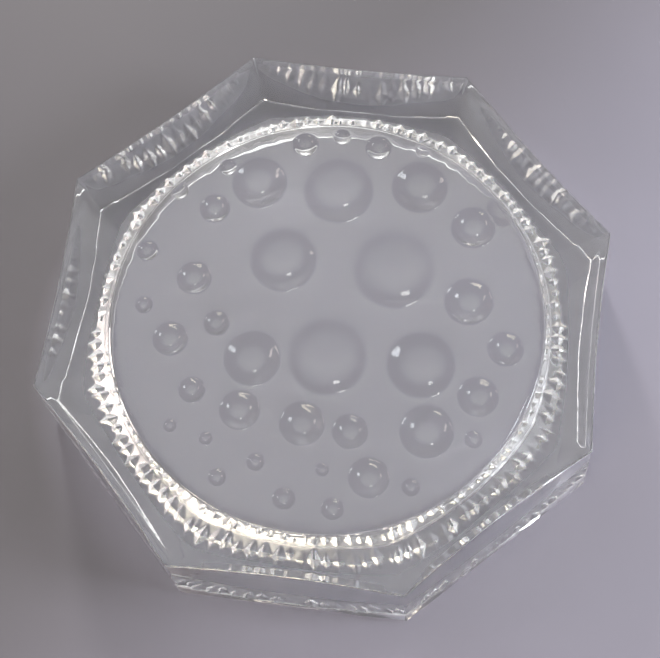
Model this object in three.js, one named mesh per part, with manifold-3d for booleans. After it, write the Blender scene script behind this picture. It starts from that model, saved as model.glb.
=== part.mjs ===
// A small eight-sided dish pressed from clear glass in one piece.  A thick wall with nearly
// upright outer faces slopes in to a shallow round well.  The underside is hollowed to a deep
// round recess with a bevelled mouth, and round bosses like bubbles hang from its ceiling.
// The dish stands on the flat ring of glass that is left around the bevel.
//
// Millimetres, +Z up.  The origin is the centre of the plane that the dish stands on, and
// the middles of four of the eight sides lie on the X and Y axes.

import * as THREE from 'three';
import { mergeVertices } from 'three/addons/utils/BufferGeometryUtils.js';
import Module from 'manifold-3d';

const wasm = await Module();
wasm.setup();

// ---- Overall sizes ----
const SIDES = 8;
const CORNER_RADIUS = 50;         // centre to an outer corner of the lip
const HEIGHT = 20;

// ---- Wall and lip ----
const WALL_AT_WELL = 8.6;         // middle of an outer side to the edge of the well's floor
const LIP_WIDTH = 1.8;            // level top of the wall, at the middle of a side
const LIP_AT_CORNER = 1.4;        // the same, measured in from a corner
const SIDE_BOW = 0.6;             // how far the lip of a side curves in at its middle
const FOOT_FLARE = 0.5;           // the wall stands this much farther out at its foot
const LIP_ROUND = 0.5;            // easing of the lip's two edges
const HEEL_ROUND = 0.35;          // easing of the outer bottom edge

// ---- Well and floor ----
const WELL_DEPTH = 3.2;           // lip to the floor of the well
const WELL_FILLET = 2;            // rounding where the wall runs into the floor
const FLOOR_THICKNESS = 4;

// ---- Recess in the underside ----
const CEILING_INSET = 0.1;        // the ceiling is smaller in radius than the well's floor
const RECESS_FLARE = 2.7;         // the recess widens by this from its ceiling to its bevel
const BEVEL_WIDTH = 3.4;          // bevel round the mouth of the recess, measured outwards
const BEVEL_HEIGHT = 2.2;
const CEILING_FILLET = 0.8;       // rounding where the recess wall meets its ceiling
const BEVEL_ROUND = 0.6;          // easing of the bevel's two edges

// ---- Bosses on the recess ceiling ----
const BOSS_MARGIN = 0.3;          // plain glass left between the bosses and the ceiling's edge
const BOSS_DEPTH = 1.2;           // the deepest that a boss hangs
const BOSS_SLOPE = 0.3;           // depth of a small boss for each millimetre of its radius

// The scatter, on a disc of radius 100: x, y and radius of each boss.
const BOSSES = [
  [35, 72, 13], [-3, 66, 17], [-41, 66, 13], [-22, 88, 6], [13, 90, 6],
  [62, 54, 10], [-60, 50, 7], [-24, 28, 16], [28, 29, 20], [64, 17, 11],
  [83, -4, 8], [73, -28, 9], [3, -17, 19], [46, -16, 16], [-31, -22, 13],
  [-33, -47, 9], [-56, -40, 6], [-4, -50, 10], [18, -51, 8], [52, -47, 12],
  [29, -71, 9], [-38, -79, 4], [-22, -70, 4], [8, -70, 3], [-7, -85, 5],
  [15, -87, 5], [-63, -58, 3], [-46, -62, 3], [48, -73, 4], [73, -48, 4],
  [-70, -17, 8], [-50, -7, 6], [-64, 14, 8], [-88, 25, 5], [-78, 57, 4],
  [-57, 72, 4], [-5, 94, 4], [34, 91, 3], [75, 61, 4], [-85, -2, 4],
];

// ---- Fineness of the faceted solid ----
const STEPS_PER_SIDE = 8;         // an even number, so that a facet edge falls on each corner
const ROUND_STEPS = 3;
const BOSS_SEGMENTS = 14;
const BOSS_STEPS = 3;
const ROOT = 0.2;                 // how far a boss is sunk into the ceiling it hangs from

// ---- Sizes that follow from the ones above ----
const HALF_SIDE_ANGLE = Math.PI / SIDES;
const SIDE_DISTANCE = CORNER_RADIUS * Math.cos(HALF_SIDE_ANGLE);
const WELL_RADIUS = SIDE_DISTANCE - WALL_AT_WELL;
const FLOOR_TOP = HEIGHT - WELL_DEPTH;
const CEILING = FLOOR_TOP - FLOOR_THICKNESS;
const CEILING_RADIUS = WELL_RADIUS - CEILING_INSET;
const BEVEL_TOP_RADIUS = CEILING_RADIUS + RECESS_FLARE;
const MOUTH_RADIUS = BEVEL_TOP_RADIUS + BEVEL_WIDTH;
const PATTERN_RADIUS = CEILING_RADIUS - BOSS_MARGIN;

// ---- Booleans ----

function toSolid(geometry) {
  const bare = geometry.clone();
  bare.deleteAttribute('normal');
  bare.deleteAttribute('uv');
  const merged = mergeVertices(bare, 1e-4);
  const vertProperties = merged.attributes.position.array;
  const triVerts = new Uint32Array(merged.index.array);
  return new wasm.Manifold(new wasm.Mesh({ numProp: 3, vertProperties, triVerts }));
}

function toGeometry(solid) {
  const mesh = solid.getMesh();
  const geometry = new THREE.BufferGeometry();
  geometry.setAttribute('position', new THREE.BufferAttribute(mesh.vertProperties, 3));
  geometry.setIndex(new THREE.BufferAttribute(mesh.triVerts, 1));
  geometry.computeVertexNormals();
  return geometry;
}

// ---- The body of the dish ----

// One level of the profile: how far out it is at the middle of a side and at a corner.  The
// two are equal where the dish is round.
function level(side, corner, height) {
  return new THREE.Vector3(side, corner, height);
}

// Replaces a sharp turn of the profile by a short curve that starts and ends at a distance
// of size from it.
function eased(before, turn, after, size) {
  const start = turn.clone().add(before.clone().sub(turn).setLength(size));
  const end = turn.clone().add(after.clone().sub(turn).setLength(size));
  return new THREE.QuadraticBezierCurve3(start, turn, end).getPoints(ROUND_STEPS);
}

function dishProfile() {
  const ceilingCentre = level(0, 0, CEILING);
  const ceilingEdge = level(CEILING_RADIUS, CEILING_RADIUS, CEILING);
  const bevelTop = level(BEVEL_TOP_RADIUS, BEVEL_TOP_RADIUS, BEVEL_HEIGHT);
  const recessMouth = level(MOUTH_RADIUS, MOUTH_RADIUS, 0);
  const heel = level(SIDE_DISTANCE + FOOT_FLARE, CORNER_RADIUS + FOOT_FLARE, 0);
  const lipOutside = level(SIDE_DISTANCE - SIDE_BOW, CORNER_RADIUS, HEIGHT);
  const lipInside = level(SIDE_DISTANCE - LIP_WIDTH, CORNER_RADIUS - LIP_AT_CORNER, HEIGHT);
  const floorEdge = level(WELL_RADIUS, WELL_RADIUS, FLOOR_TOP);
  const floorCentre = level(0, 0, FLOOR_TOP);
  return [
    ceilingCentre,
    ...eased(ceilingCentre, ceilingEdge, bevelTop, CEILING_FILLET),
    ...eased(ceilingEdge, bevelTop, recessMouth, BEVEL_ROUND),
    ...eased(bevelTop, recessMouth, heel, BEVEL_ROUND),
    ...eased(recessMouth, heel, lipOutside, HEEL_ROUND),
    ...eased(heel, lipOutside, lipInside, LIP_ROUND),
    ...eased(lipOutside, lipInside, floorEdge, LIP_ROUND),
    ...eased(lipInside, floorEdge, floorCentre, WELL_FILLET),
    floorCentre,
  ];
}

// How far an angle is towards the nearest corner: 0 at the middle of a side, 1 at a corner,
// rising so that a side comes out straight.
function cornerShare(angle) {
  const sideAngle = 2 * HALF_SIDE_ANGLE;
  const fromMiddle = angle - sideAngle * Math.round(angle / sideAngle);
  const rise = 1 / Math.cos(fromMiddle) - 1;
  const riseAtCorner = 1 / Math.cos(HALF_SIDE_ANGLE) - 1;
  return rise / riseAtCorner;
}

// A lathe turns the profile of the sides' middles, and each of its points is then moved
// out towards the corners.
function dishBody() {
  const profile = dishProfile();
  const lathePoints = profile.map(({ x, z }) => new THREE.Vector2(x, z));
  const body = new THREE.LatheGeometry(lathePoints, SIDES * STEPS_PER_SIDE);
  body.rotateX(Math.PI / 2);
  const position = body.attributes.position;
  for (let i = 0; i < position.count; i += 1) {
    const { x: side, y: corner } = profile[i % profile.length];
    const angle = Math.atan2(position.getY(i), position.getX(i));
    const reach = THREE.MathUtils.lerp(side, corner, cornerShare(angle));
    position.setX(i, reach * Math.cos(angle));
    position.setY(i, reach * Math.sin(angle));
  }
  return toSolid(body);
}

// ---- The bosses ----

// A cap of a sphere, hanging point down from the recess ceiling and sunk a little into it.
function bossShape(radius, depth) {
  const sphereRadius = (radius * radius + depth * depth) / (2 * depth);
  const fullAngle = Math.asin(radius / sphereRadius);
  const profile = [];
  for (let step = 0; step <= BOSS_STEPS; step += 1) {
    const angle = (fullAngle * step) / BOSS_STEPS;
    const rise = sphereRadius * (1 - Math.cos(angle));
    profile.push(new THREE.Vector2(sphereRadius * Math.sin(angle), rise - depth));
  }
  profile.push(new THREE.Vector2(radius, ROOT), new THREE.Vector2(0, ROOT));
  const cap = new THREE.LatheGeometry(profile, BOSS_SEGMENTS);
  cap.rotateX(Math.PI / 2);
  return cap;
}

function withBosses(body) {
  const unit = PATTERN_RADIUS / 100;
  let bossed = body;
  for (const [x, y, size] of BOSSES) {
    const radius = size * unit;
    const depth = Math.min(BOSS_DEPTH, BOSS_SLOPE * radius);
    const boss = bossShape(radius, depth).translate(x * unit, y * unit, CEILING);
    bossed = bossed.add(toSolid(boss));
  }
  return bossed;
}

// ---- The dish ----

const clearGlass = new THREE.MeshStandardMaterial({
  color: 0xdfe4e6,
  roughness: 0.03,
  metalness: 0,
  transparent: true,
  opacity: 0.35,
});

const dish = new THREE.Mesh(toGeometry(withBosses(dishBody())), clearGlass);
dish.name = 'glass_dish';

const group = new THREE.Group();
group.add(dish);

export default group;
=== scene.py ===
# %% [markdown]
# # A small octagonal dish of pressed glass
#
# The dish is one piece of clear glass.  A press pushes a hot gob of it between two iron
# moulds, so every surface that we see is the print of a mould: eight nearly upright sides, a
# wall that slopes in to a shallow round well, and underneath a deep round recess with
# bubble-like bosses hanging from its ceiling.
#
# Clear glass has almost no colour of its own.  What we see is its far surfaces, bent and
# mirrored by the near ones.  So nearly all of the work is in the shape, underside included,
# and only a little of it is in the material.
#
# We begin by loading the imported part.  It gives us the true sizes, and it is the frame that
# every later piece is placed in.

import bpy
import math
import numpy as np
from mathutils import Matrix, Vector, geometry, noise


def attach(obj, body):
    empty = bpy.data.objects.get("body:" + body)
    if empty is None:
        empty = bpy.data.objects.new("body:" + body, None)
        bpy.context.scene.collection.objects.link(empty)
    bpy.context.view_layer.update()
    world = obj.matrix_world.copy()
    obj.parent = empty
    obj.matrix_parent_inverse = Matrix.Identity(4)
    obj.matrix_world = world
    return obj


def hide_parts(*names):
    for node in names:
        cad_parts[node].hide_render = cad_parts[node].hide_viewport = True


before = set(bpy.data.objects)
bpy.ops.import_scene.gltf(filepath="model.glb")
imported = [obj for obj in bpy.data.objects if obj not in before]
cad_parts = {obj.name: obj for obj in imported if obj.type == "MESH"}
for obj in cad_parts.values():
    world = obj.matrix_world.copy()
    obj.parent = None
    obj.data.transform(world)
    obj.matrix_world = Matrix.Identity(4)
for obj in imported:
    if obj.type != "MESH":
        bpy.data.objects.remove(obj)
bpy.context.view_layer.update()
cad_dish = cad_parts["glass_dish"]

# %% [markdown]
# ## The sizes of the dish
#
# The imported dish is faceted, with only a few flats to each rounding.  That is too coarse for
# glass, which magnifies every facet, so we'll make a finer skin of the same shape.
#
# A turned piece is drawn by its section: the line that you would see if you sawed through
# the wall.  An octagonal one needs two of them, one through the middle of a side and one
# through a corner.  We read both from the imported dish, so that the skin always follows it.
# The points of a section come in no order, and we sort them by walking round a place inside
# the wall.

# %% Read a section of the wall
SIDES = 8
SIDE_ANGLE = 2 * math.pi / SIDES
ANGLE_SLACK = 1e-4
WALL_FROM = 0.5                    # the wall lies beyond this share of the whole reach
INSIDE_WALL = (0.82, 0.75)         # a place inside the wall, as shares of reach and height

cad_points = np.array([(cad_dish.matrix_world @ v.co)[:] for v in cad_dish.data.vertices])
cad_points = np.unique(np.round(cad_points, 7), axis=0)
cad_reach = np.hypot(cad_points[:, 0], cad_points[:, 1])
cad_angle = np.arctan2(cad_points[:, 1], cad_points[:, 0])
print(len(cad_points), "points to read from")


def points_towards(angle):
    """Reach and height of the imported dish's points that lie in one direction."""
    apart = np.angle(np.exp(1j * (cad_angle - angle)))
    near = (np.abs(apart) < ANGLE_SLACK) & (cad_reach > WALL_FROM * cad_reach.max())
    return np.column_stack([cad_reach[near], cad_points[near, 2]])


def wall_section(first_angle):
    """The section of the wall, from the ceiling of the recess round to the floor of the well."""
    repeats = [points_towards(first_angle + k * SIDE_ANGLE) for k in range(SIDES)]
    section = min(repeats, key=len)
    middle_reach = INSIDE_WALL[0] * cad_reach.max()
    middle_height = INSIDE_WALL[1] * cad_points[:, 2].max()
    turn = np.arctan2(section[:, 1] - middle_height, section[:, 0] - middle_reach)
    return section[np.argsort(turn)]


side_section = wall_section(0.0)
corner_section = wall_section(SIDE_ANGLE / 2)
print(len(side_section), "points through a side and", len(corner_section), "through a corner")

# %% [markdown]
# Both sections start at the edge of the recess's ceiling and end at the edge of the well's
# floor, so their ends give those two sizes.  The lip is the highest point and the foot is
# the lowest.

# %% Name the sizes that the other cells use
CEILING_EDGE, CEILING_HEIGHT = side_section[0]
FLOOR_EDGE, FLOOR_HEIGHT = side_section[-1]
LIP_HEIGHT = side_section[:, 1].max()
at_foot = side_section[side_section[:, 1] < 1e-5]
FOOT_INNER = at_foot[:, 0].min()
FOOT_OUTER = at_foot[:, 0].max()
LIP_BAND = 0.0006                  # points this close to the top belong to the lip
LIP_CORNER = corner_section[corner_section[:, 1] > LIP_HEIGHT - LIP_BAND, 0].max()


def in_mm(*lengths):
    """Lengths in metres as rounded millimetres, for printing."""
    return [round(float(length) * 1000, 2) for length in lengths]


print("lip, floor and ceiling stand at", in_mm(LIP_HEIGHT, FLOOR_HEIGHT, CEILING_HEIGHT))
print("the foot runs between", in_mm(FOOT_INNER, FOOT_OUTER))

# %% [markdown]
# ## The camera
#
# We set the camera before we model, because it tells us which details will matter.  It
# looks down into the dish from the front, a little to one side, and it leans over slightly.
# Its place is written in corner radii from the middle of the lip, so it would keep its
# framing if the dish were made larger.

# %% Place the camera
EYE = Vector((0.534, -1.805, 4.872))
AIM = Vector((0.030, -0.069, 0.0))
LEAN = math.radians(-8.9)
LENS = 85.24

lip_middle = Vector((0, 0, LIP_HEIGHT))
eye = lip_middle + EYE * LIP_CORNER
aim = lip_middle + AIM * LIP_CORNER
camera_data = bpy.data.cameras.new("camera")
camera_data.lens = LENS
camera_data.sensor_width = 36
camera = bpy.data.objects.new("camera", camera_data)
bpy.context.scene.collection.objects.link(camera)
level_view = (aim - eye).to_track_quat("-Z", "Y").to_matrix()
camera.matrix_world = Matrix.Translation(eye) @ (level_view @ Matrix.Rotation(LEAN, 3, "Z")).to_4x4()
bpy.context.scene.camera = camera
print("camera", round((eye - aim).length * 1000), "mm from the dish")

# %% [markdown]
# ## The wall
#
# A press leaves no sharp edges: the glass pulls itself round as it cools.  So we soften the
# section by corner cutting.  Each pass replaces every corner by two points, a quarter of
# the way along the lines that meet there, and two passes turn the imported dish's few flats
# into a curve.  Long straight runs are pinned near both their ends first, or the cutting
# would bend them too.

# %% Soften the section
PIN = 0.0005
CUTTING_PASSES = 2


def pinned(points):
    """Adds a point close to each end of every long run, to keep the run straight."""
    kept = [points[0]]
    for start, end in zip(points[:-1], points[1:]):
        length = np.linalg.norm(end - start)
        if length > 3 * PIN:
            kept += [start + (end - start) * PIN / length, end - (end - start) * PIN / length]
        kept.append(end)
    return np.array(kept)


def corners_cut(points):
    """One pass of corner cutting, which leaves the two ends where they are."""
    cut = [points[0]]
    for start, end in zip(points[:-1], points[1:]):
        cut += [0.75 * start + 0.25 * end, 0.25 * start + 0.75 * end]
    return np.array(cut + [points[-1]])


# Side reach, corner reach and height of each row of the wall.
wall_rows = np.column_stack([side_section[:, 0], corner_section[:, 0], side_section[:, 1]])
wall_rows = pinned(wall_rows)
for _ in range(CUTTING_PASSES):
    wall_rows = corners_cut(wall_rows)
print(len(wall_rows), "rows after cutting")

# %% [markdown]
# The rows are uneven now: crowded in the curves and far apart on the straights.  We walk
# along the section and take a new row wherever enough length has passed, with a short step
# where the underside is textured and a longer one where the glass is plain.

# %% Space the rows evenly
FINE_STEP = 0.00022
PLAIN_STEP = 0.0007
CURVE_STEP = 0.00016
TEXTURE_TOP = 0.004                # the texture lies below this height
TEXTURE_MARGIN = 0.005             # and reaches this far in from the foot
LEAST_BEND = 0.02                  # turns sharper than this count as a curve
BEND_NEARBY = 0.0003               # how far off a curve already shortens the step


def step_at(row, bend):
    """How long a step may be here: short in the texture, short in a curve."""
    textured = row[2] < TEXTURE_TOP and FOOT_INNER - TEXTURE_MARGIN < row[0] < FOOT_OUTER
    if bend > LEAST_BEND:
        return CURVE_STEP
    return FINE_STEP if textured else PLAIN_STEP


def spaced(rows):
    """Rows a step apart along the section."""
    lengths = np.linalg.norm(np.diff(rows, axis=0), axis=1)
    along = np.concatenate([[0], np.cumsum(lengths)])
    headings = np.diff(rows, axis=0) / np.maximum(lengths, 1e-12)[:, None]
    bends = np.concatenate([[0], np.linalg.norm(np.diff(headings, axis=0), axis=1), [0]])
    places = [0.0]
    while places[-1] < along[-1]:
        here = np.array([np.interp(places[-1], along, rows[:, k]) for k in range(3)])
        close = np.abs(along - places[-1]) < BEND_NEARBY
        bend = bends[close].max() if close.any() else 0
        places.append(places[-1] + step_at(here, bend))
    places = np.array(places) * along[-1] / places[-1]
    return np.column_stack([np.interp(places, along, rows[:, k]) for k in range(3)])


wall_rows = spaced(wall_rows)
print(len(wall_rows), "rows in the finished wall")

# %% [markdown]
# ### The texture of the bevel
#
# Pressed ware often has a ring of small cuts beside the part that it stands on, where they
# break up the light and hide scratches.  Here they run round the bevel at the mouth of the
# recess.  Each one is a dent with four flat sides that meet in a point, longer than it is
# wide, as a tool cuts them with a few strokes.  Side by side their edges form a zigzag, and
# each flat side throws the light its own way, which a round cup would not do.  The mould was
# cut by hand, so no two of the dents are quite the same.

# %% Describe the dents
DENTS_AROUND = 122
DENT_REACH = FOOT_INNER - 0.0011
DENT_HALF_WIDTH = 0.0012
DENT_LENGTH = 1.8                  # times its width
DENT_DEPTH = 0.0010
UNEVEN = 0.34

hand = np.random.default_rng(7)
dents = []
for k in range(DENTS_AROUND):
    reach = DENT_REACH + hand.normal(0, UNEVEN * DENT_HALF_WIDTH)
    angle = (k + hand.normal(0, UNEVEN / 3)) * 2 * math.pi / DENTS_AROUND
    wide = DENT_HALF_WIDTH * (1 + hand.normal(0, UNEVEN / 2))
    deep = DENT_DEPTH * (1 + hand.normal(0, UNEVEN))
    dents.append((reach * math.cos(angle), reach * math.sin(angle), wide, deep))
dents = np.array(dents)
print(len(dents), "dents round the bevel")

# %% [markdown]
# ### Hand-made unevenness
#
# Even the plain faces of pressed glass wander a little.  The skin chills where it touches
# the mould, and it shrinks unevenly.  On the wall of the recess the mould's turning marks
# run round and round, so there the waves are long along the circle and short up the wall.
# The outer bottom edge is where the two moulds met, and it wavers a little too.

# %% Measure out the unevenness
WANDER = 0.00003
WANDER_SIZE = 0.006
TURNING = 0.00007
TURNING_SIZE = 0.0011
TURNING_DRIFT = 0.006              # how far a turning mark changes with one radian of turn
TURNING_FROM = 0.002               # the marks start above this height
TURNING_FADE = 0.001
HEEL_ROUGHNESS = 0.00010
HEEL_SIZE = 0.005
HEEL_OUT = 0.0001                  # the edge lies this far outside the level foot
HEEL_WIDTH = 0.0012


def wander(x, y, z, size):
    """A smooth random number, mostly within 1 of zero, that changes over a distance of size."""
    return noise.noise(Vector((x, y, z)) / size)


def recess_wall_share(reach, height):
    """1 on the wall of the recess, fading out at its top and at the bevel."""
    if reach > FOOT_INNER or height > CEILING_HEIGHT:
        return 0.0
    fade_in = (height - TURNING_FROM) / TURNING_FADE
    fade_out = (CEILING_HEIGHT - height) / TURNING_FADE
    return max(0.0, min(1.0, fade_in, fade_out))


def heel_share(row):
    """1 on the outer bottom edge, fading out over a little more than a millimetre."""
    away = math.hypot(FOOT_OUTER + HEEL_OUT - row[0], row[2])
    return max(0.0, 1 - away / HEEL_WIDTH)


print("the plain faces wander by about", WANDER * 1000, "mm")

# %% [markdown]
# ### Bending the wall round the octagon
#
# Each row is swept round the dish.  On the way its reach swings between its two values, the
# one through a side and the one through a corner.  The swing follows the secant of the
# angle, which is what makes the side of a polygon straight.

# %% Sweep the wall
AROUND = 1008


def corner_share(angle):
    """0 at the middle of a side and 1 at a corner, rising so that a side comes out straight."""
    from_middle = angle - SIDE_ANGLE * round(angle / SIDE_ANGLE)
    return (1 / math.cos(from_middle) - 1) / (1 / math.cos(SIDE_ANGLE / 2) - 1)


angles = [2 * math.pi * k / AROUND for k in range(AROUND)]
shares = [corner_share(angle) for angle in angles]


def swept_row(row):
    """The points of one row, with the unevenness of its part of the wall."""
    heel = heel_share(row)
    points = []
    for angle, share in zip(angles, shares):
        reach = row[0] + (row[1] - row[0]) * share
        x, y, z = reach * math.cos(angle), reach * math.sin(angle), row[2]
        out = WANDER * wander(x, y, z, WANDER_SIZE)
        turned = recess_wall_share(reach, z)
        if turned:
            out += TURNING * turned * wander(angle * TURNING_DRIFT, 0, z, TURNING_SIZE)
        if heel:
            out += HEEL_ROUGHNESS * heel * wander(x, y, z, HEEL_SIZE)
        points.append(((reach + out) * math.cos(angle), (reach + out) * math.sin(angle), z))
    return points


wall_points = np.array([swept_row(row) for row in wall_rows])
print(wall_points.shape[0], "rows of", wall_points.shape[1], "points")

# %% [markdown]
# The dents are pressed in afterwards, because they follow a circle and not the octagon.
# Only points low on the wall can be inside one.  A dent fades out before it reaches the
# outline, which has to stay whole.

# %% Press the dents into the bevel
DENTS_BELOW = 0.0035
OUTLINE_FADE = 0.0008

outward = dents[:, :2] / np.linalg.norm(dents[:, :2], axis=1)[:, None]
low_rows = np.where(wall_rows[:, 2] < DENTS_BELOW)[0]
for row in low_rows:
    ring = wall_points[row]
    gap = ring[:, None, :2] - dents[None, :, :2]
    along = np.abs((gap * outward[None]).sum(axis=2)) / DENT_LENGTH
    across = np.abs(gap[:, :, 0] * outward[None, :, 1] - gap[:, :, 1] * outward[None, :, 0])
    sink = np.clip(1 - (along + across) / dents[None, :, 2], 0, 1) * dents[None, :, 3]
    inside_outline = np.clip((FOOT_OUTER - np.hypot(ring[:, 0], ring[:, 1])) / OUTLINE_FADE, 0, 1)
    wall_points[row, :, 2] += sink.max(axis=1) * inside_outline
print("the lowest point of the wall is still at", in_mm(wall_points[:, :, 2].min()))

# %% [markdown]
# ## The bosses
#
# The ceiling of the recess carries a scatter of round bosses.  Through the floor they look
# like bubbles, because each one is a lens.  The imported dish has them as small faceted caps,
# and we need to know where each one is, how wide and how deep.
#
# Faces that hang below the ceiling belong to bosses.  Two of them belong to the same boss
# when they share a corner, so spreading from face to face finds one whole boss at a time.

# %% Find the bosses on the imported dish
LEVEL_SLACK = 1e-6


def find_bosses():
    """Middle, radius and depth of every boss, as x, y, radius, depth."""
    places = {}
    members = {}
    mesh = cad_dish.data
    for face in mesh.polygons:
        corners = [cad_dish.matrix_world @ mesh.vertices[k].co for k in face.vertices]
        reach = max(math.hypot(c.x, c.y) for c in corners)
        heights = [c.z for c in corners]
        hangs = min(heights) < CEILING_HEIGHT - LEVEL_SLACK and max(heights) < FLOOR_HEIGHT - LEVEL_SLACK
        if reach < CEILING_EDGE and hangs:
            keys = [tuple(round(value, 6) for value in c) for c in corners]
            for key in keys:
                places.setdefault(key, key)
            members[face.index] = keys

    def leader(key):
        while places[key] != key:
            key = places[key]
        return key

    for keys in members.values():
        for key in keys[1:]:
            places[leader(key)] = leader(keys[0])
    islands = {}
    for key in places:
        islands.setdefault(leader(key), []).append(key)
    found = []
    for island in islands.values():
        points = np.array(island)
        low, high = points.min(axis=0), points.max(axis=0)
        middle = (low + high) / 2
        radius = np.hypot(points[:, 0] - middle[0], points[:, 1] - middle[1]).max()
        found.append((middle[0], middle[1], radius, CEILING_HEIGHT - low[2]))
    return sorted(found)


bosses = find_bosses()
boss_radii = [radius for _, _, radius, _ in bosses]
print(len(bosses), "bosses, with radii between", in_mm(min(boss_radii), max(boss_radii)))

# %% [markdown]
# Hot glass can't fill a sharp corner, so a real boss runs into the ceiling with a small
# cove.  We draw a boss by its own section: a round cap, and then a cove that carries it
# softly into the flat.

# %% Shape a boss
COVE = 0.14


def boss_drop(away, radius, depth):
    """How far a boss hangs below the ceiling at a distance from its middle."""
    if away >= radius * (1 + COVE):
        return 0.0
    cap_radius = (radius**2 + depth**2) / (2 * depth)
    if away <= radius * (1 - COVE):
        return math.sqrt(cap_radius**2 - away**2) - (cap_radius - depth)
    inner = radius * (1 - COVE)
    drop = math.sqrt(cap_radius**2 - inner**2) - (cap_radius - depth)
    slope = -inner / math.sqrt(cap_radius**2 - inner**2)
    width = 2 * COVE * radius
    share = (away - inner) / width
    from_drop = drop * (2 * share**3 - 3 * share**2 + 1)
    from_slope = slope * width * (share**3 - 2 * share**2 + share)
    return max(0.0, from_drop + from_slope)


_, _, first_radius, first_depth = bosses[0]
print("halfway out, the first boss hangs", in_mm(boss_drop(first_radius / 2, first_radius, first_depth)))

# %% [markdown]
# ### One skin for the ceiling
#
# The points of the ceiling come in three kinds: rings round each boss, an even spread over
# the plain glass between them, and the edge where the ceiling meets the wall.  A Delaunay
# triangulation joins them into one skin with no gaps, and it avoids thin slivers where it
# can.  The same helper makes the floor of the well.

# %% Spread points over a disc
SPREAD = 0.0016
RING_SHARES = [0.16, 0.32, 0.48, 0.63, 0.76, 0.86, 0.93, 1.0, 1.07, 1.14]
RING_STEP = 0.00022
FEWEST_ROUND, MOST_ROUND = 10, 56
EDGE_MARGIN = 0.0002


def spread_points(edge_reach, keep_away=()):
    """Points in a triangular pattern inside a circle, clear of the given circles."""
    points = []
    rows = int(edge_reach / SPREAD) + 1
    for i in range(-rows, rows + 1):
        for j in range(-2 * rows, 2 * rows + 1):
            x = (j + 0.5 * (i % 2)) * SPREAD
            y = i * SPREAD * math.sqrt(3) / 2
            clear = all(math.hypot(x - cx, y - cy) > radius + 0.4 * SPREAD for cx, cy, radius in keep_away)
            if math.hypot(x, y) < edge_reach - 0.5 * SPREAD and clear:
                points.append((x, y))
    return points


def ring_points(x, y, radius):
    """Rings of points over one boss, and one at its middle."""
    points = [(x, y)]
    for share in RING_SHARES:
        count = int(2 * math.pi * share * radius / RING_STEP)
        count = max(FEWEST_ROUND, min(MOST_ROUND, count))
        for k in range(count):
            turn = 2 * math.pi * k / count
            points.append((x + share * radius * math.cos(turn), y + share * radius * math.sin(turn)))
    return points


def joined(edge, inside):
    """Triangles over a disc.  The edge's points come first in the numbering."""
    flat = [Vector((p[0], p[1])) for p in edge] + [Vector(p) for p in inside]
    rim = [(k, (k + 1) % len(edge)) for k in range(len(edge))]
    found = geometry.delaunay_2d_cdt(flat, rim, [], 1, 1e-9)
    names = {k: min(origins) for k, origins in enumerate(found[3])}
    return [[names[k] for k in face] for face in found[2]]


edge_of_ceiling = wall_points[0]
edge_of_floor = wall_points[-1]
boss_areas = [(x, y, radius * (1 + COVE)) for x, y, radius, _ in bosses]
ceiling_inside = spread_points(CEILING_EDGE, boss_areas)
for x, y, radius, _ in bosses:
    for point in ring_points(x, y, radius):
        if math.hypot(*point) < CEILING_EDGE - EDGE_MARGIN:
            ceiling_inside.append(point)
floor_inside = spread_points(FLOOR_EDGE)
ceiling_faces = joined(edge_of_ceiling, ceiling_inside)
floor_faces = joined(edge_of_floor, floor_inside)
print(len(ceiling_faces), "triangles in the ceiling and", len(floor_faces), "in the floor")

# %% [markdown]
# ## Putting the skin together
#
# Wall, ceiling and floor share the points of their common edges, so the skin closes
# without any merging.  Faces are listed so that they look outwards, which glass needs: the
# renderer uses that side to tell air from glass.

# %% Build the glass skin
FIRE_POLISHED, DENTED, BOSSED = 0, 1, 2
BEVEL_TOP = 0.003
BEVEL_MIDDLE = FOOT_INNER - 0.0017
BEVEL_HALF_WIDTH = 0.0025
CEILING_NOISE, FLOOR_NOISE = 0.3, 0.7   # two unlike levels of the same noise


def ceiling_height(x, y):
    """Height of the ceiling's skin, with its bosses and a little wander."""
    drop = max(boss_drop(math.hypot(x - bx, y - by), radius, depth) for bx, by, radius, depth in bosses)
    return CEILING_HEIGHT - drop + WANDER * wander(x, y, CEILING_NOISE, WANDER_SIZE)


def glass_skin():
    """The whole closed surface: points, faces and the finish of each face."""
    row_count, around = wall_points.shape[:2]
    points = [tuple(p) for p in wall_points.reshape(-1, 3)]
    faces, finishes = [], []
    for row in range(row_count - 1):
        middle = (wall_rows[row] + wall_rows[row + 1]) / 2
        dented = middle[2] < BEVEL_TOP and abs(middle[0] - BEVEL_MIDDLE) < BEVEL_HALF_WIDTH
        for k in range(around):
            here, there = row * around + k, row * around + (k + 1) % around
            faces.append((here, there, there + around, here + around))
            finishes.append(DENTED if dented else FIRE_POLISHED)

    def add_disc(triangles, edge_start, inside, height, looks_up, finish):
        first_new = len(points)
        points.extend((x, y, height(x, y)) for x, y in inside)
        numbers = [edge_start + k for k in range(around)] + [first_new + k for k in range(len(inside))]
        for triangle in triangles:
            corners = [numbers[k] for k in triangle]
            faces.append(tuple(corners if looks_up else reversed(corners)))
            finishes.append(finish)

    def floor_level(x, y):
        return FLOOR_HEIGHT + WANDER * wander(x, y, FLOOR_NOISE, WANDER_SIZE)

    add_disc(ceiling_faces, 0, ceiling_inside, ceiling_height, False, BOSSED)
    add_disc(floor_faces, (row_count - 1) * around, floor_inside, floor_level, True, FIRE_POLISHED)
    return points, faces, finishes


skin_points, skin_faces, skin_finishes = glass_skin()
print(len(skin_points), "points and", len(skin_faces), "faces")

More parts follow.
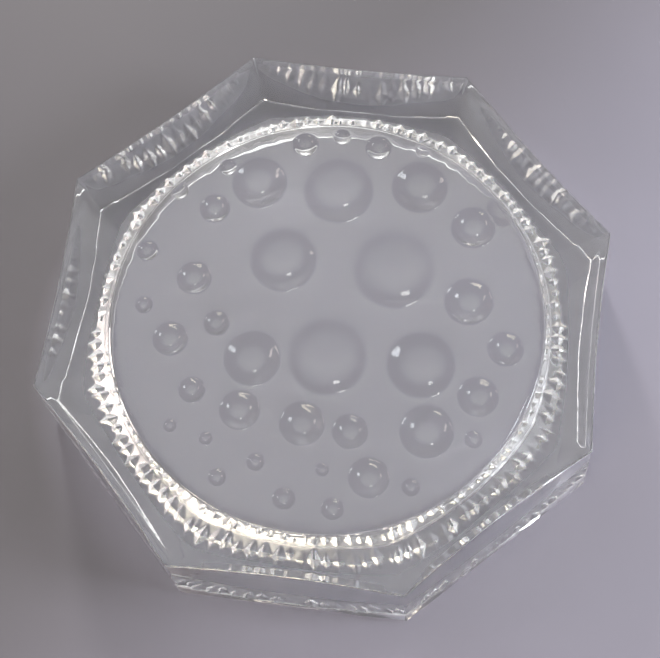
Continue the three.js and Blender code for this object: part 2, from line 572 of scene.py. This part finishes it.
# %% Make the dish an object
dish_mesh = bpy.data.meshes.new("pressed_glass_dish")
dish_mesh.from_pydata(skin_points, [], skin_faces)
dish_mesh.validate()
dish_mesh.polygons.foreach_set("material_index", skin_finishes)
dish_mesh.polygons.foreach_set("use_smooth", [True] * len(dish_mesh.polygons))
dish = bpy.data.objects.new("pressed_glass_dish", dish_mesh)
bpy.context.scene.collection.objects.link(dish)
edge_uses = {}
for face in dish_mesh.polygons:
    for edge in face.edge_keys:
        edge_uses[edge] = edge_uses.get(edge, 0) + 1
open_edges = sum(1 for uses in edge_uses.values() if uses != 2)
print("edges that don't join exactly two faces:", open_edges)

# %% [markdown]
# ## The glass
#
# Three finishes share one melt.  Faces that were flashed with a flame after pressing are
# bright and barely rippled.  The dented bevel is grained and scuffed.  The bossed ceiling
# keeps the print of the mould, since no flame reached it.
#
# All three need the same things, slow ripples, a fine grain, scuffs and specks of dust, in
# different strengths.  That makes them a node group: built once, and placed in each material
# with its own values.

# %% Helpers for node trees
def add_node(tree, kind, label, place, **settings):
    """A node with its settings, where a reader expects to find it."""
    node = tree.nodes.new(kind)
    node.label = label
    node.location = place
    for name, value in settings.items():
        setattr(node, name, value)
    return node


def set_inputs(node, **values):
    """Sets input sockets by name, with _ for a space."""
    for name, value in values.items():
        node.inputs[name.replace("_", " ")].default_value = value


def new_group(name, inputs, outputs):
    """An empty node group with named number sockets."""
    group = bpy.data.node_groups.new(name, "ShaderNodeTree")
    for label, value in inputs:
        socket = group.interface.new_socket(label, in_out="INPUT", socket_type="NodeSocketFloat")
        socket.default_value = value
    for label in outputs:
        group.interface.new_socket(label, in_out="OUTPUT", socket_type="NodeSocketFloat")
    return group


print("node helpers ready")

# %% [markdown]
# The group puts out a height in metres, which a Bump node turns into tilted normals, and a
# roughness.  Ripples and grain are noise at two scales.  Dust is fine noise from which only
# the peaks are kept, and it lifts the roughness in small specks.

# %% Build the glass surface group
glass_surface = new_group(
    "glass_surface",
    [("Ripple Scale", 180.0), ("Ripple Depth", 0.00004), ("Grain Scale", 1500.0), ("Grain Depth", 0.000002),
     ("Roughness", 0.01), ("Dust", 0.1), ("Scuff", 0.0)],
    ["Height", "Roughness"],
)


def fill_glass_surface(tree):
    """Wires the noises of the group."""
    come_in = add_node(tree, "NodeGroupInput", "", (-900, 0))
    go_out = add_node(tree, "NodeGroupOutput", "", (700, 0))
    where = add_node(tree, "ShaderNodeTexCoord", "position", (-900, -300))
    ripple = add_node(tree, "ShaderNodeTexNoise", "ripples", (-600, 200))
    set_inputs(ripple, Detail=1.5, Roughness=0.45)
    grain = add_node(tree, "ShaderNodeTexNoise", "grain", (-600, -60))
    set_inputs(grain, Detail=3.0, Roughness=0.6)
    dust = add_node(tree, "ShaderNodeTexNoise", "dust", (-600, -320))
    set_inputs(dust, Scale=900.0, Detail=2.0, Roughness=0.7)
    peaks = add_node(tree, "ShaderNodeMapRange", "only the peaks", (-300, -320))
    set_inputs(peaks, From_Min=0.66, From_Max=0.78)
    streak = add_node(tree, "ShaderNodeTexVoronoi", "scuffs", (-600, -580), feature="DISTANCE_TO_EDGE")
    set_inputs(streak, Scale=260.0)
    thin = add_node(tree, "ShaderNodeMapRange", "thin lines", (-300, -580))
    set_inputs(thin, From_Min=0.05, From_Max=0.0)
    links = tree.links
    for texture in (ripple, grain, dust, streak):
        links.new(where.outputs["Object"], texture.inputs["Vector"])
    links.new(come_in.outputs["Ripple Scale"], ripple.inputs["Scale"])
    links.new(come_in.outputs["Grain Scale"], grain.inputs["Scale"])
    links.new(dust.outputs["Fac"], peaks.inputs["Value"])
    links.new(streak.outputs["Distance"], thin.inputs["Value"])

    def times(label, first, second, place):
        node = add_node(tree, "ShaderNodeMath", label, place, operation="MULTIPLY")
        links.new(first, node.inputs[0])
        links.new(second, node.inputs[1])
        return node.outputs[0]

    def plus(label, first, second, place):
        node = add_node(tree, "ShaderNodeMath", label, place, operation="ADD")
        links.new(first, node.inputs[0])
        links.new(second, node.inputs[1])
        return node.outputs[0]

    ripples = times("ripple height", ripple.outputs["Fac"], come_in.outputs["Ripple Depth"], (0, 200))
    grains = times("grain height", grain.outputs["Fac"], come_in.outputs["Grain Depth"], (0, -60))
    links.new(plus("height", ripples, grains, (250, 100)), go_out.inputs["Height"])
    dusty = times("dust roughness", peaks.outputs["Result"], come_in.outputs["Dust"], (0, -320))
    scuffed = times("scuff roughness", thin.outputs["Result"], come_in.outputs["Scuff"], (0, -580))
    both = plus("dust and scuffs", dusty, scuffed, (250, -400))
    links.new(plus("roughness", both, come_in.outputs["Roughness"], (450, -200)), go_out.inputs["Roughness"])


fill_glass_surface(glass_surface)
print("glass_surface has", len(glass_surface.nodes), "nodes")

# %% [markdown]
# Each finish is a Principled shader that transmits all of its light.  The refractive index
# is that of ordinary soda-lime glass.  The base colour is almost white: a trace of iron
# takes a little red away on every pass, and the long paths through the wall add that up to
# a faint grey-green.

# %% Mix the three finishes
SODA_LIME_INDEX = 1.51
MELT_COLOUR = (0.955, 0.97, 0.955, 1.0)


def glass_finish(name, colour=MELT_COLOUR, **strengths):
    """One finish of the melt, with its own values for the shared surface group."""
    material = bpy.data.materials.new(name)
    material.use_nodes = True
    tree = material.node_tree
    shader = tree.nodes["Principled BSDF"]
    shader.inputs["Base Color"].default_value = colour
    shader.inputs["Transmission Weight"].default_value = 1.0
    shader.inputs["Metallic"].default_value = 0.0
    shader.inputs["IOR"].default_value = SODA_LIME_INDEX
    surface = add_node(tree, "ShaderNodeGroup", "surface", (-600, 0), node_tree=glass_surface)
    set_inputs(surface, **strengths)
    bump = add_node(tree, "ShaderNodeBump", "tilt", (-300, -200))
    bump.inputs["Distance"].default_value = 1.0
    tree.links.new(surface.outputs["Height"], bump.inputs["Height"])
    tree.links.new(bump.outputs["Normal"], shader.inputs["Normal"])
    tree.links.new(surface.outputs["Roughness"], shader.inputs["Roughness"])
    return material


fire_polished = glass_finish(
    "fire_polished_glass", Ripple_Scale=130.0, Ripple_Depth=0.00013, Grain_Depth=0.0000002,
    Roughness=0.004, Dust=0.05,
)
dented_glass = glass_finish(
    "dented_bevel_glass", Ripple_Scale=420.0, Ripple_Depth=0.00005, Grain_Depth=0.00002,
    Roughness=0.32, Dust=0.1, Scuff=0.05,
)
mould_print = glass_finish(
    "mould_print_glass", Ripple_Scale=240.0, Ripple_Depth=0.00008, Grain_Depth=0.0000005,
    Roughness=0.015, Dust=0.05,
)
for finish in (fire_polished, dented_glass, mould_print):
    dish_mesh.materials.append(finish)
print([finish.name for finish in dish_mesh.materials])

# %% [markdown]
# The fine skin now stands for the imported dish, which stays underneath for its weight and
# its collisions.

# %% Put the dish in the frame
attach(dish, "root")
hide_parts("glass_dish")
print("the dish rides on the root body")

# %% [markdown]
# ## The table and the backdrop
#
# Clear glass shows whatever lies around it, so the stage matters more here than for any
# other material.  The dish stands on a pale, slightly lilac table with a satin finish.  It
# has faint, soft patches, since a table with no variation at all looks like a void when it
# is seen through glass.

# %% Lay the table
TABLE_HALF = 1.5
# TABLE_SHADE is the painted shade that the table's own colour, TABLE_LIGHT, fades into.
TABLE_LIGHT = (0.222, 0.213, 0.260, 1.0)
TABLE_SHADE = (0.078, 0.072, 0.078, 1.0)
SHADE_TOWARDS = (-0.88, 0.47, 0.0)
SHADE_FROM, SHADE_TO = -0.045, 0.045
TABLE_GAP = 0.00005                # keeps the two faces from lying in one plane

corners = [(x * TABLE_HALF, y * TABLE_HALF, 0) for x, y in ((-1, -1), (1, -1), (1, 1), (-1, 1))]
table_mesh = bpy.data.meshes.new("table")
table_mesh.from_pydata(corners, [], [(0, 1, 2, 3)])
table = bpy.data.objects.new("table", table_mesh)
table.location.z = -TABLE_GAP
bpy.context.scene.collection.objects.link(table)
table_finish = bpy.data.materials.new("satin_table")
table_finish.use_nodes = True
table_mesh.materials.append(table_finish)
print("table laid")

# %% [markdown]
# In a real room something tall stands beyond one edge of the table and keeps part of the
# light off it.  The table is only a backdrop, so we paint that soft shade into its colour.
# Under the dish the painted shade is weaker: a painted pool of light that stands in for the light
# which the glass gathers from all around and lays down beneath itself.

# %% Colour the table
def colour_table(tree):
    """A painted shade that fades across the table, weaker under the dish, with faint patches."""
    where = add_node(tree, "ShaderNodeTexCoord", "position", (-1300, 0))
    across = add_node(tree, "ShaderNodeVectorMath", "into the shade", (-1050, 200), operation="DOT_PRODUCT")
    across.inputs[1].default_value = SHADE_TOWARDS
    fade = add_node(tree, "ShaderNodeMapRange", "shade", (-800, 200), interpolation_type="SMOOTHSTEP")
    set_inputs(fade, From_Min=SHADE_FROM, From_Max=SHADE_TO, To_Min=0.22, To_Max=1.0)
    away = add_node(tree, "ShaderNodeVectorMath", "distance from the dish", (-1050, -50), operation="LENGTH")
    open_table = add_node(tree, "ShaderNodeMapRange", "outside", (-800, -50), interpolation_type="SMOOTHSTEP")
    set_inputs(open_table, From_Min=0.040, From_Max=0.058, To_Min=0.15, To_Max=1.0)
    patches = add_node(tree, "ShaderNodeTexNoise", "patches", (-1050, -300))
    set_inputs(patches, Scale=9.0, Detail=3.0, Roughness=0.5)
    faint = add_node(tree, "ShaderNodeMapRange", "faint patches", (-800, -300))
    set_inputs(faint, From_Min=0.3, From_Max=0.7, To_Min=0.0, To_Max=0.16)
    shade = add_node(tree, "ShaderNodeMath", "shade outside the dish", (-550, 100), operation="MULTIPLY")
    total = add_node(tree, "ShaderNodeMath", "shade and patches", (-350, 0), operation="ADD")
    mix = add_node(tree, "ShaderNodeMix", "table colour with painted shade", (-150, 0), data_type="RGBA")
    # A Mix node keeps its two colours in sockets 6 and 7 and its mixed colour in output 2.
    mix.inputs[6].default_value = TABLE_LIGHT
    mix.inputs[7].default_value = TABLE_SHADE
    links = tree.links
    links.new(where.outputs["Object"], across.inputs[0])
    links.new(where.outputs["Object"], away.inputs[0])
    links.new(where.outputs["Object"], patches.inputs["Vector"])
    links.new(across.outputs["Value"], fade.inputs["Value"])
    links.new(away.outputs["Value"], open_table.inputs["Value"])
    links.new(patches.outputs["Fac"], faint.inputs["Value"])
    links.new(fade.outputs["Result"], shade.inputs[0])
    links.new(open_table.outputs["Result"], shade.inputs[1])
    links.new(shade.outputs[0], total.inputs[0])
    links.new(faint.outputs["Result"], total.inputs[1])
    links.new(total.outputs[0], mix.inputs["Factor"])
    shader = tree.nodes["Principled BSDF"]
    shader.inputs["Roughness"].default_value = 0.5
    links.new(mix.outputs[2], shader.inputs["Base Color"])


colour_table(table_finish.node_tree)
print("table coloured")

# %% [markdown]
# ## Light
#
# Most of the light in the room comes softly from a pale ceiling.  Its mirror image lies like
# a thin veil over the level faces of the glass.  The ring round the recess mirrors what is
# lower down and further out, and it would glare if the whole room were bright.  So the
# world's strength fades quickly away from the ceiling.  It is a little dimmer above the
# near edge too, and that gap in the light draws the soft rims of the bosses.
#
# Four soft boxes do the rest.  A small bright one beyond the dish makes the hard white
# glints, a cool one close by on the right lets the table darken towards the left, and two
# low, warm ones tint what the bevel mirrors: rosy on the left, and cream in front.

# %% Light the room
ROOM_COLOUR = (1.0, 0.98, 1.0, 1.0)
BRIGHTEST_TOWARDS = (-0.10, 0.35, 0.93)
FADE_FROM, FADE_TO = 0.58, 0.98
WALL_STRENGTH, CEILING_STRENGTH = 0.15, 2.2
GAP_TOWARDS = (0.10, -0.35, 0.93)
GAP_FROM, GAP_TO = 0.60, 0.88
GAP_STRENGTH = 0.75


def towards(tree, label, direction, place):
    """A node that measures how nearly a ray points in one direction."""
    node = add_node(tree, "ShaderNodeVectorMath", label, place, operation="DOT_PRODUCT")
    node.inputs[1].default_value = direction
    return node


def soft_step(tree, label, place, **limits):
    """A Map Range node that eases in and out."""
    node = add_node(tree, "ShaderNodeMapRange", label, place, interpolation_type="SMOOTHSTEP")
    set_inputs(node, **limits)
    return node


room = bpy.data.worlds.new("room")
room.use_nodes = True
room_tree = room.node_tree
room_where = add_node(room_tree, "ShaderNodeTexCoord", "direction", (-900, 0))
room_rise = towards(room_tree, "towards the ceiling", BRIGHTEST_TOWARDS, (-700, 0))
room_fade = soft_step(
    room_tree, "fade", (-500, 0),
    From_Min=FADE_FROM, From_Max=FADE_TO, To_Min=WALL_STRENGTH, To_Max=CEILING_STRENGTH,
)
room_near = towards(room_tree, "towards the gap", GAP_TOWARDS, (-700, -300))
room_gap = soft_step(
    room_tree, "gap", (-500, -300),
    From_Min=GAP_FROM, From_Max=GAP_TO, To_Min=1.0, To_Max=GAP_STRENGTH,
)
room_total = add_node(room_tree, "ShaderNodeMath", "strength", (-250, -100), operation="MULTIPLY")
room_background = room_tree.nodes["Background"]
room_background.inputs["Color"].default_value = ROOM_COLOUR
room_tree.links.new(room_where.outputs["Generated"], room_rise.inputs[0])
room_tree.links.new(room_rise.outputs["Value"], room_fade.inputs["Value"])
room_tree.links.new(room_where.outputs["Generated"], room_near.inputs[0])
room_tree.links.new(room_near.outputs["Value"], room_gap.inputs["Value"])
room_tree.links.new(room_fade.outputs["Result"], room_total.inputs[0])
room_tree.links.new(room_gap.outputs["Result"], room_total.inputs[1])
room_tree.links.new(room_total.outputs[0], room_background.inputs["Strength"])
bpy.context.scene.world = room
print("the room is lit")

# %% Set the soft boxes
def soft_box(name, place, size, power, colour):
    """A rectangular lamp that faces the dish and doesn't show itself."""
    lamp = bpy.data.lights.new(name, "AREA")
    lamp.shape = "RECTANGLE"
    lamp.size, lamp.size_y = size
    lamp.energy = power
    lamp.color = colour
    holder = bpy.data.objects.new(name, lamp)
    holder.location = place
    holder.rotation_euler = (-Vector(place)).to_track_quat("-Z", "Y").to_euler()
    holder.visible_camera = False
    bpy.context.scene.collection.objects.link(holder)
    return holder


soft_box("far_glint", (-0.33, 0.80, 0.42), (0.13, 0.17), 6.5, (1.0, 0.98, 0.96))
soft_box("cool_right", (0.40, -0.02, 0.30), (0.14, 0.14), 2.4, (0.92, 0.94, 1.0))
soft_box("rosy_left", (-0.60, -0.05, 0.22), (0.25, 0.20), 1.1, (1.0, 0.84, 0.80))
soft_box("cream_front", (-0.20, -0.62, 0.24), (0.50, 0.20), 3.6, (1.0, 0.89, 0.72))
print("four soft boxes set")

# %% [markdown]
# A ray may cross many faces of the dish before it gets out, and each crossing counts as a
# bounce.  With too few bounces allowed, the wall would fill with black patches.

# %% Let the light bounce
bpy.context.scene.view_settings.view_transform = "Standard"
bpy.context.scene.cycles.max_bounces = 24
bpy.context.scene.cycles.transmission_bounces = 20
bpy.context.scene.cycles.glossy_bounces = 12
print("up to", bpy.context.scene.cycles.max_bounces, "bounces")
